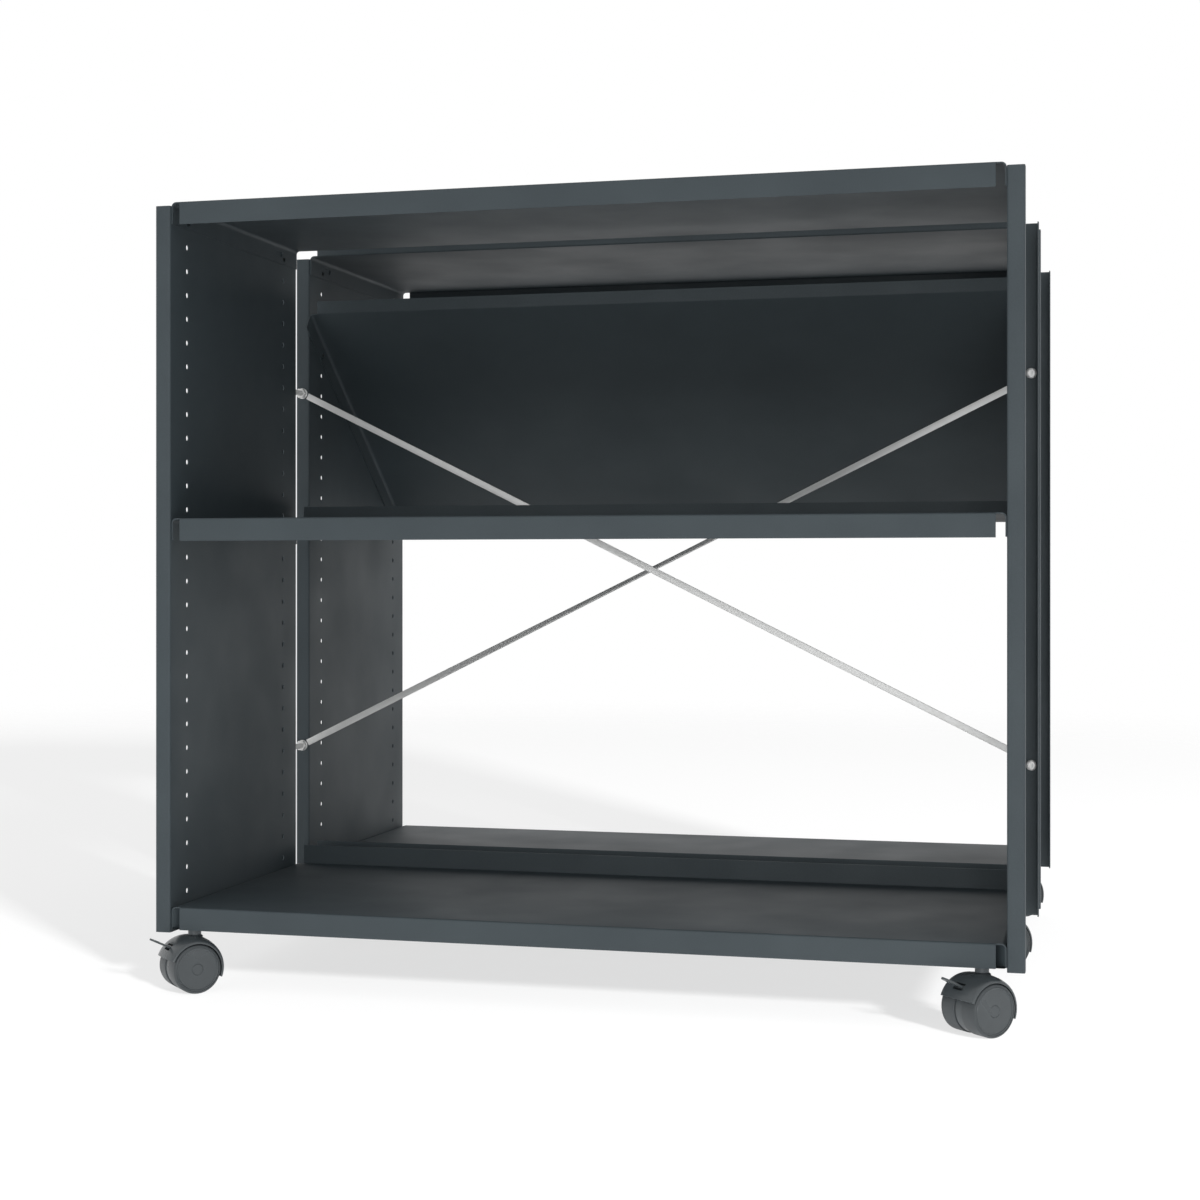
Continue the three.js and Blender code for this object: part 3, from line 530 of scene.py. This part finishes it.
PLATE, BRACKET_HALF, BRACKET_LIFT, REACH_BACK = 2.5, 15.75, 0.5, 46
BRACKET_STEPS, OUTLINE_STEPS = 9, 8
CASTOR_X, CASTOR_SETBACK, TURN = 480.5, 10.5, np.radians(45)
bracket_foot = DECKS["base"] - LIP + BRACKET_LIFT
rise = DECKS["base"] - SHEET - bracket_foot
half, within = BRACKET_HALF, BRACKET_HALF - PLATE
outline = np.array([
    (half, rise), (half, 0), (-half, 0), (-half, rise),
    (-within, rise), (-within, PLATE), (within, PLATE), (within, rise), (half, rise),
])
corner = np.arange(len(outline))
finer = np.linspace(0, corner[-1], corner[-1] * OUTLINE_STEPS + 1)
wide, high = (np.interp(finer, corner, line) for line in outline.T)
to_side, to_lip = SHELF_LONG / 2 - SHEET - CASTOR_X, CASTOR_SETBACK - SETBACK - SHEET
root = np.sqrt(2)
near = np.minimum(root * to_side - wide, root * to_lip + wide)
far = abs(wide) - root * REACH_BACK
run = far + (near - far) * np.linspace(0, 1, BRACKET_STEPS)[:, None]
bracket = [(run + wide) / root, (wide - run) / root, np.broadcast_to(high, run.shape)]
bracket = np.stack(bracket, axis=-1).reshape(-1, 3)
bracket_net = lattice(BRACKET_STEPS, len(finer))
corner_faces = (("front", front_face + CASTOR_SETBACK, 1), ("rear", rear_face - CASTOR_SETBACK, -1))
for bay, face, way_y in corner_faces:
    for side, way_x in SIDES:
        place = [way_x * CASTOR_X, face, panel_foot + bracket_foot]
        points = bracket * [way_x, way_y, 1] + place
        piece(f"bracket_{bay}_{side}", points, bracket_net, anthracite, "frame")


def coat(name, material):
    """Gives a CAD node that shows as it is its finish."""
    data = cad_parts[name].data
    data.materials.clear()
    data.materials.append(material)


for side, _ in SIDES:
    coat(f"castor_bridge_{side}", anthracite)

# Castor hoods: one nylon moulding over each pair of wheels. Its shell is domed across, ends low
# on the far side and high on the brake's side, and joins a web and a socket between the wheels.

AXLE_HIGH, AXLE_BORE, TRAIL, TILT = 30, 3.3, 6, np.radians(21)
HOOD_TOP, HOOD_EDGE, HOOD_IN, HOOD_HALF, DOME_POWER = 38, 31.6, 31, 27.7, 0.8
HOOD_STEPS, HOOD_LINES, RIB_STEPS, RIB_RINGS, WHEEL_SIDES = 73, 41, 37, 9, 96
WEB_HALF, WEB_ROUND, WEB_EDGE, RIB_SUNK = 5.2, 28.8, 0.5, 0.2
SOCKET_HALF, PIN_BORE, PIN_FOOT, HOOD_CROWN = 9, 3.8, 46, 68
BEAD, BEAD_LOW, BEAD_HIGH, CROWN_EDGE = 1.2, 1.6, 0.4, 0.6
PIVOT_REACH, PIVOT_ANGLE, SLOT_HALF, SLOT_ABOVE, SLOT_BELOW = 35.17, np.radians(135), 7.7, 3.4, 5
ON_AXLE = [0, -TRAIL, AXLE_HIGH]


def moulded_nylon(name, pale, deep, roughness, grain_scale):
    """Glass-filled nylon from a polished mould: smooth, with a soft gloss, faint flow marks and a
    spark-eroded grain about a millimetre across."""
    made, tree, shader, place = new_material(name)
    flow = noise(tree, place, scale=45, detail=4, distortion=0.6)
    grain = noise(tree, place, scale=grain_scale, detail=2)
    tone = two_tones(tree, flow, pale, deep)
    gloss = spread(tree, flow, roughness - 0.05, roughness + 0.06)
    surface(tree, shader, tone, gloss, grain, strength=0.15, distance=0.0002)
    shader.inputs["IOR"].default_value = 1.53
    return made


def castor_place(points, place):
    """Turns a part of a castor with its stem and sets it on the stem's place on the floor."""
    x, y, z = np.asarray(points).T
    cos, sin = np.cos(-TURN), np.sin(-TURN)
    return np.stack([cos * x - sin * y + place[0], sin * x + cos * y + place[1], z], axis=1)


def around_axle(angle, radius, x):
    """A point at an angle and a radius round the axle, which lies along X."""
    y = radius * np.cos(angle) - TRAIL
    z = radius * np.sin(angle) + AXLE_HIGH
    return np.stack(np.broadcast_arrays(x, y, z), axis=-1).reshape(-1, 3)


def upright(points):
    """Turns a part that was made along X to stand along Z."""
    return points[:, [1, 2, 0]]


def softened(made, width):
    """Rounds the edges of a moulding that are sharper than 50 degrees."""
    soften = made.modifiers.new("moulded_edge", "BEVEL")
    soften.width, soften.segments = width / MM, 2
    soften.limit_method, soften.angle_limit = "ANGLE", np.radians(50)


def hood_parts(braked):
    """The shell is a dome across its width, carried round the axle. On a braked castor the cells
    where the lever turns are left out. A rib joins the shell to the web, a disc that fills the
    space between the wheels down to just inside their treads. The socket takes the stem."""
    notch = PIVOT_ANGLE + np.array([-SLOT_ABOVE, SLOT_BELOW]) / PIVOT_REACH
    angle = np.linspace(-TILT, np.pi - TILT, HOOD_STEPS)
    angle = np.sort(np.concatenate([angle, notch]))
    half_turn = np.linspace(-1, 1, HOOD_LINES) * np.pi / 2
    slot_edge = np.arcsin(SLOT_HALF / HOOD_HALF)
    half_turn = np.sort(np.concatenate([half_turn, [-slot_edge, slot_edge]]))
    x = HOOD_HALF * np.sin(half_turn)
    reach = HOOD_EDGE + (HOOD_TOP - HOOD_EDGE) * np.cos(half_turn) ** DOME_POWER
    outside = around_axle(angle[:, None], reach, x)
    inside = around_axle(angle[:, None], np.full(len(x), HOOD_IN), x)
    net = lattice(len(angle), len(x))
    if braked:
        middle_angle = np.repeat((angle[1:] + angle[:-1]) / 2, len(x) - 1)
        middle_x = np.tile((x[1:] + x[:-1]) / 2, len(angle) - 1)
        past_slot = abs(middle_angle - notch.mean()) > np.ptp(notch) / 2
        net = net[past_slot | (abs(middle_x) > SLOT_HALF)]
    shell = thick(outside, inside, net)
    radius = np.linspace(0, HOOD_IN + RIB_SUNK, RIB_RINGS)
    sweep = np.linspace(-TILT, np.pi - TILT, RIB_STEPS)[:, None]
    rib_faces = [around_axle(sweep, radius, way * WEB_HALF) for way in (1, -1)]
    rib = thick(*rib_faces, lattice(RIB_STEPS, RIB_RINGS))
    web, web_net = turned_part([
        (AXLE_BORE, -WEB_HALF, 0), (WEB_ROUND - WEB_EDGE, -WEB_HALF, 0),
        (WEB_ROUND, WEB_EDGE - WEB_HALF, 0), (WEB_ROUND, WEB_HALF - WEB_EDGE, 0),
        (WEB_ROUND - WEB_EDGE, WEB_HALF, 0), (AXLE_BORE, WEB_HALF, 0), (AXLE_BORE, -WEB_HALF, 0),
    ], WHEEL_SIDES)
    socket, socket_net = turned_part([
        (PIN_BORE, PIN_FOOT, 0), (SOCKET_HALF, HOOD_IN + AXLE_HIGH, 0),
        (SOCKET_HALF + BEAD, HOOD_CROWN - BEAD_LOW, 0), (SOCKET_HALF, HOOD_CROWN - BEAD_HIGH, 0),
        (SOCKET_HALF - CROWN_EDGE, HOOD_CROWN, 0), (PIN_BORE, HOOD_CROWN, 0),
        (PIN_BORE, PIN_FOOT, 0),
    ])
    return gathered([shell, rib, (web + ON_AXLE, web_net), (upright(socket), socket_net)])


grey_nylon = moulded_nylon(
    "grey_moulded_nylon", "4a5053", "42484b", roughness=0.3, grain_scale=1400,
)
stems = {}
for row in ("front", "middle", "rear"):
    for side, _ in SIDES:
        stems[f"{row}_{side}"] = box_mm(f"castor_{row}_{side}_stem").mean(axis=0)
hoods = {braked: hood_parts(braked) for braked in (True, False)}
for where, place in stems.items():
    points, net = hoods["middle" not in where]
    made = piece(f"hood_{where}", castor_place(points, place), net, grey_nylon,
                 f"castor_{where}_swivel", f"castor_{where}_hood", sharp=30)
    softened(made, 0.5)

# Castor wheels: two moulded nylon discs a castor, each with a soft grey tread moulded round it.
# A raised rim runs round the plain outer face, and a hub on the inner side takes the axle.

WHEEL, INNER, OUTER = 30, 5.7, 29
TREAD_ROUND, TREAD_EDGE, TREAD_SEAT, TREAD_LIP, TREAD_DRAW = 3, 1, 0.2, 0.5, 0.1
BORE_END, HUB, POCKET_DEEP, POCKET_EDGE, RIM_BACK = 24.4, 9, 12, 0.6, 23.8
DISC_FIT, DISC_EDGE, DISC_EDGE_HIGH = 0.3, 0.4, 0.35
RIM_IN, RIM_BEND, RIM_BEND_DEEP, RIM_FOOT, RECESS = 25.6, 0.5, 0.3, 0.8, 0.9
FACE_MIDDLE, FACE_RISE, CAP_RISE, CAP_CROWN = 12, 0.25, 0.3, 0.4
CAP, CAP_OUT, CAP_IN, CAP_GROOVE, ROUND_STEPS = 6.8, 0.4, 0.5, 0.1, 6


def rounded(radius, along, bend, way):
    """The rows of a quarter round between a rim and a side that faces that way."""
    angle = np.linspace(0, np.pi / 2, ROUND_STEPS)
    reach = radius - bend * (1 - np.cos(angle))
    place = along - way * bend * (1 - np.sin(angle))
    return list(zip(reach, place, np.zeros(ROUND_STEPS)))


tread_foot, tread_side, tread_top = RIM_IN + TREAD_SEAT, WHEEL - TREAD_ROUND, OUTER - TREAD_LIP
tread_points, tread_net = turned_part([
    (tread_foot, INNER, 0), *rounded(WHEEL, INNER, TREAD_EDGE, -1)[::-1],
    *rounded(WHEEL, OUTER, TREAD_ROUND, 1), (tread_side - TREAD_DRAW, tread_top, 0),
    (tread_foot, tread_top, 0), (tread_foot, INNER, 0),
], WHEEL_SIDES)
disc_side, face = tread_side - DISC_FIT, OUTER - RECESS
disc_points, disc_net = turned_part([
    (0, BORE_END, 0), (AXLE_BORE, BORE_END, 0), (AXLE_BORE, INNER, 0), (HUB, INNER, 0),
    (HUB + POCKET_EDGE, INNER + POCKET_EDGE, 0), (HUB + POCKET_EDGE, POCKET_DEEP, 0),
    (RIM_BACK - 2 * POCKET_EDGE, POCKET_DEEP, 0), (RIM_BACK - POCKET_EDGE, INNER + POCKET_EDGE, 0),
    (RIM_BACK, INNER, 0), (disc_side, INNER, 0), (disc_side, OUTER - DISC_EDGE_HIGH, 0),
    (disc_side - DISC_EDGE, OUTER, 0), (RIM_IN, OUTER, 0),
    (RIM_IN - RIM_BEND, OUTER - RIM_BEND_DEEP, 0), (RIM_IN - RIM_FOOT, face, 0),
    (FACE_MIDDLE, face + FACE_RISE, 0), (CAP + CAP_OUT, face + CAP_RISE, 0),
    (CAP, face - CAP_GROOVE, 0), (CAP - CAP_IN, face + CAP_RISE, 0), (0, face + CAP_CROWN, 0),
], WHEEL_SIDES)
soft_tread = moulded_nylon(
    "soft_grey_tread", "42474a", "3c4245", roughness=0.5, grain_scale=900,
)
for where, place in stems.items():
    for side, way in SIDES:
        body = f"castor_{where}_wheel_{side}"
        points = castor_place(disc_points * [way, 1, 1] + ON_AXLE, place)
        piece(f"disc_{where}_{side}", points, disc_net, grey_nylon, body, body, sharp=25)
        points = castor_place(tread_points * [way, 1, 1] + ON_AXLE, place)
        piece(f"tread_{where}_{side}", points, tread_net, soft_tread, body, sharp=25)

# Stems and axles: turned steel. A stem has a swivel pin below, a collar that shows between the
# hood and the shelf's lip, and an M10 thread with its nut above the bracket's plate.

PIN, COLLAR, COLLAR_EDGE, STEM_NUT_HIGH = 3.5, 8, 0.6, 6
STEM, STEM_THREAD, STEM_THREAD_DEEP, STEM_SUNK, STEM_TAIL = 5, 1.5, 0.7, 1, 8
steel = zinc_plate("turned_bright_steel", "b9bcbe", "a9abac", roughness=0.3, metallic=1.0)
dark_collar = powder_coat("stem_collar_coat", "50565a", "484e52", roughness=0.4)
plate_low = panel_foot + bracket_foot
nut_foot = plate_low + PLATE + GAP
collar_foot, collar_top = HOOD_CROWN + GAP, plate_low - GAP
collar_points, collar_net = turned_part([
    (0, PIN_FOOT, 0), (PIN, PIN_FOOT, 0), (PIN, collar_foot, 0),
    (COLLAR - COLLAR_EDGE, collar_foot, 0), (COLLAR, collar_foot + COLLAR_EDGE, 0),
    (COLLAR, collar_top - COLLAR_EDGE, 0), (COLLAR - COLLAR_EDGE, collar_top, 0),
    (0, collar_top, 0),
])
thread = threaded(STEM, HOOD_CROWN + STEM_SUNK, nut_foot + STEM_TAIL, STEM_THREAD, STEM_THREAD_DEEP)
nut_points, nut_net = hexagon_nut(NUT_HALF, STEM, STEM_NUT_HIGH)
thread_points, thread_net = gathered([thread, (nut_points + [nut_foot, 0, 0], nut_net)])
for where, place in stems.items():
    points = castor_place(upright(collar_points), place)
    piece(f"collar_{where}", points, collar_net, dark_collar, "frame")
    points = castor_place(upright(thread_points), place)
    piece(f"thread_{where}", points, thread_net, steel, "frame", f"castor_{where}_stem", sharp=28)
    coat(f"castor_{where}_axle", steel)

# Brake levers: thin nylon paddles on the four corner castors. Each turns in the hood's notch and
# rises clear of the hood, with three low ridges near its rounded tip for the foot.

LEVER_LONG, LEVER_HALF, LEVER_THICK, RISE, TIP_HALF = 29, 7, 2.5, np.radians(26), 6
RIDGE_AT, RIDGE_SPAN, RIDGE_PITCH, RIDGE_HIGH, RIDGE_SUNK = 20, 4.1, 3.2, 0.3, 0.2
BARREL, BARREL_EDGE, PIVOT_PIN, PIVOT_HALF = 2.5, 0.4, 1.3, 10.5
LEVER_STEPS, LEVER_LINES, TIP_STEPS, TIP_FIRST, TIP_LEAST = 31, 13, 12, 0.1, 0.0004
tip_start = LEVER_LONG - TIP_HALF
tip_run = TIP_HALF * np.sin(np.linspace(TIP_FIRST, 1, TIP_STEPS) * np.pi / 2)
run = np.concatenate([np.linspace(0, tip_start, LEVER_STEPS), tip_start + tip_run])
tip_share = np.maximum(run - tip_start, 0) / TIP_HALF
half_wide = np.interp(run, [0, tip_start], [LEVER_HALF, TIP_HALF])
half_wide = half_wide * np.sqrt(np.maximum(1 - tip_share ** 2, TIP_LEAST))
share = np.sin(np.linspace(-1, 1, LEVER_LINES) * np.pi / 2)
x = half_wide[:, None] * share
past = run - RIDGE_AT
ridge = np.clip(np.cos(past * 2 * np.pi / RIDGE_PITCH), 0, 1) * (abs(past) < RIDGE_SPAN)
top = LEVER_THICK / 2 - RIDGE_SUNK + RIDGE_HIGH * ridge[:, None] * (1 - share ** 4)
skins = []
for z in (top, np.full(x.shape, -LEVER_THICK / 2)):
    risen_y = z * np.sin(RISE) - run[:, None] * np.cos(RISE)
    risen_z = z * np.cos(RISE) + run[:, None] * np.sin(RISE)
    skins.append(np.stack([x, risen_y, risen_z], axis=-1).reshape(-1, 3))
paddle = thick(*skins, lattice(len(run), LEVER_LINES))
barrel = turned_part([
    (0, -LEVER_HALF, 0), (BARREL - BARREL_EDGE, -LEVER_HALF, 0),
    (BARREL, BARREL_EDGE - LEVER_HALF, 0), (BARREL, LEVER_HALF - BARREL_EDGE, 0),
    (BARREL - BARREL_EDGE, LEVER_HALF, 0), (0, LEVER_HALF, 0),
])
pins = turned_part([
    (0, -PIVOT_HALF, 0), (PIVOT_PIN, -PIVOT_HALF, 0),
    (PIVOT_PIN, PIVOT_HALF, 0), (0, PIVOT_HALF, 0),
])
lever_points, lever_net = gathered([paddle, barrel, pins])
lever_points = lever_points + around_axle(PIVOT_ANGLE, PIVOT_REACH, 0)
for where, place in stems.items():
    if "middle" not in where:
        points = castor_place(lever_points, place)
        made = piece(f"lever_{where}", points, lever_net, grey_nylon,
                     f"castor_{where}_lever", f"castor_{where}_lever", sharp=30)
        softened(made, 0.4)

# Studio: a pale floor that fades out to the white of the room, so that only the shadow shows.
# One lamp far to the front right lights the floor alone and throws the shadow on it. A soft key
# lamp and a low soft lamp light the bookcase, and the room gives an even light all round. The
# studio's own sizes are in metres.

FLOOR_HALF, FLOOR_GLOW, FLOOR_CENTRE, FADE_START, FADE_END = 6, 0.7, (-0.8, 0.9, 0), 2.1, 4.5
ROOM_WALL, ROOM_CEILING = 0.42, 0.75
FLOOR_CORNERS = ((-1, -1, 0), (1, -1, 0), (1, 1, 0), (-1, 1, 0))


def seen_directly(tree):
    """One for the rays that show the room: the camera's own, and those by which gloss and glass
    show it."""
    ray = node(tree, "ShaderNodeLightPath").outputs
    links = {0: ray["Is Camera Ray"], 1: ray["Is Glossy Ray"]}
    shown = node(tree, "ShaderNodeMath", links, operation="MAXIMUM").outputs[0]
    links = {0: shown, 1: ray["Is Transmission Ray"]}
    return node(tree, "ShaderNodeMath", links, operation="MAXIMUM").outputs[0]


def studio_floor():
    """White painted floor. The camera sees it partly glowing, which keeps the shadow pale. It
    clears to the white of the room from about two metres round its centre, which lies towards
    the shadow."""
    made, tree, shader, place = new_material("studio_floor")
    shader.inputs["Base Color"].default_value = linear("f4f4f4")
    shader.inputs["Roughness"].default_value = 0.9
    shader.inputs["Specular IOR Level"].default_value = 0.1
    glow = node(tree, "ShaderNodeEmission", {"Color": (1, 1, 1, 1), "Strength": 1.0}).outputs[0]
    share = {0: seen_directly(tree), 1: FLOOR_GLOW}
    share = node(tree, "ShaderNodeMath", share, operation="MULTIPLY").outputs[0]
    seen = node(tree, "ShaderNodeMixShader", {0: share, 1: shader.outputs[0], 2: glow}).outputs[0]
    far = node(tree, "ShaderNodeVectorMath", {0: place, 1: FLOOR_CENTRE}, operation="DISTANCE")
    fade = spread(tree, far.outputs["Value"], 0, 1, FADE_START, FADE_END,
                  interpolation_type="SMOOTHSTEP")
    clear = node(tree, "ShaderNodeBsdfTransparent").outputs[0]
    ends = node(tree, "ShaderNodeMixShader", {0: fade, 1: seen, 2: clear}).outputs[0]
    tree.links.new(ends, tree.nodes["Material Output"].inputs["Surface"])
    return made


mesh = bpy.data.meshes.new("studio_floor")
mesh.from_pydata((np.array(FLOOR_CORNERS) * FLOOR_HALF).tolist(), [], [[0, 1, 2, 3]])
floor = bpy.data.objects.new("studio_floor", mesh)
bpy.context.collection.objects.link(floor)
mesh.materials.append(studio_floor())

world = bpy.data.worlds.new("studio_room")
bpy.context.scene.world = world
world.use_nodes = True
room = world.node_tree
room.nodes.clear()
towards = node(room, "ShaderNodeTexCoord").outputs["Generated"]
height = node(room, "ShaderNodeSeparateXYZ", {0: towards}).outputs["Z"]
level = node(room, "ShaderNodeMath", {0: height, 1: 2.0}, operation="POWER").outputs[0]
sky = spread(room, level, ROOM_WALL, ROOM_CEILING, 0, 1)
strength = spread(room, seen_directly(room), sky, 1.0, 0, 1)
light = node(room, "ShaderNodeBackground", {"Color": (1, 1, 1, 1), "Strength": strength})
node(room, "ShaderNodeOutputWorld", {0: light.outputs[0]})


def lamp(name, place, aim, size, watts, only=None):
    """A square soft lamp at a place, turned to shine at the aim. It lights all things or only one,
    on which the others still throw their shadow."""
    made = bpy.data.objects.new(name, bpy.data.lights.new(name, "AREA"))
    made.data.size, made.data.energy = size, watts
    made.location = place
    made.rotation_mode = "QUATERNION"
    made.rotation_quaternion = (Vector(aim) - Vector(place)).to_track_quat("-Z", "Y")
    bpy.context.collection.objects.link(made)
    if only:
        made.light_linking.receiver_collection = bpy.data.collections.new(f"{name}_reach")
        made.light_linking.receiver_collection.objects.link(only)


lamp("floor_lamp", (6.6, -7.5, 3.9), aim=(0, 0, 0), size=0.9, watts=2200, only=floor)
lamp("key_lamp", (4.2, -4.8, 2.5), aim=(0, 0, 0.4), size=1.6, watts=10)
lamp("low_lamp", (0.9, -5.0, 0.4), aim=(0, 0, 0.6), size=1.2, watts=36)

CAMERA_AT, CAMERA_WAY, HORIZON = (0.631, -2.724, 0.518), (-0.248, 0.9688, 0), -0.02375
LENS, SENSOR, CLIP_END = 60.99, 36, 50
camera = bpy.data.objects.new("camera", bpy.data.cameras.new("camera"))
camera.location = CAMERA_AT
camera.rotation_mode = "QUATERNION"
camera.rotation_quaternion = Vector(CAMERA_WAY).to_track_quat("-Z", "Y")
camera.data.lens, camera.data.sensor_width, camera.data.shift_y = LENS, SENSOR, HORIZON
camera.data.clip_end = CLIP_END
bpy.context.collection.objects.link(camera)
bpy.context.scene.camera = camera
bpy.context.scene.view_settings.view_transform = "Standard"
